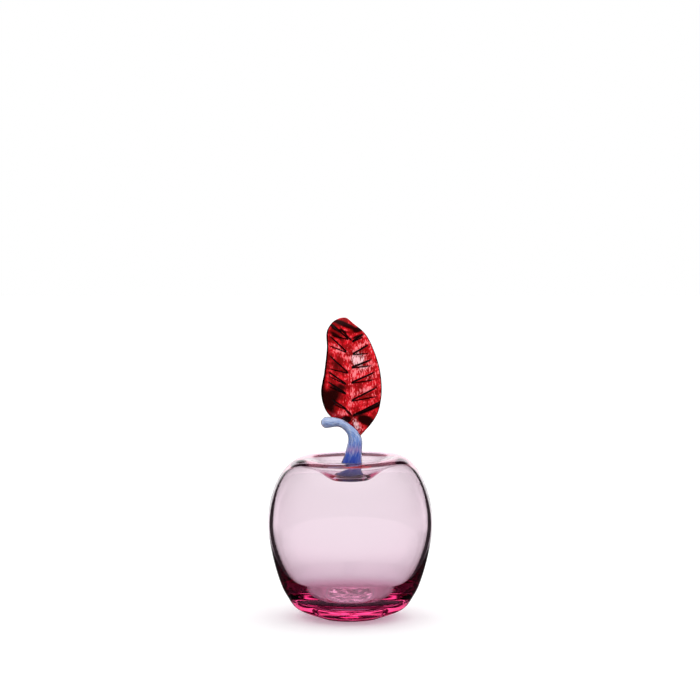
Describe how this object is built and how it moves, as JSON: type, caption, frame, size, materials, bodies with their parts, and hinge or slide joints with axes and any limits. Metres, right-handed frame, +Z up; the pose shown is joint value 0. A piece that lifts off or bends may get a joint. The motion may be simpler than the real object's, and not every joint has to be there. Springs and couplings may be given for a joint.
{
  "type": "art glass apple",
  "caption": "Hollow blown glass apple with a thick base and a dimpled top, a curled glass stem that seals the dimple, and an upright ribbed glass leaf.",
  "frame": {"origin": "centre of the foot ring, in the plane that the apple rests on", "axes": "+Z up along the apple's axis; the stem's hook curls towards -X and the leaf's front faces -Y"},
  "size_m": [0.1006, 0.1006, 0.1851],
  "materials": {
    "pink_glass": "clear pink glass, tinted all through, deepening to hot pink in the thick base",
    "blue_glass": "streaky periwinkle and cobalt glass, nearly opaque",
    "red_glass": "crimson glass with fine pale crackle, nearly opaque"
  },
  "bodies": {
    "root": {"apple_body": "pink_glass", "pontil_mark": "pink_glass", "stem": "blue_glass", "leaf": "red_glass"}
  },
  "joints": []
}
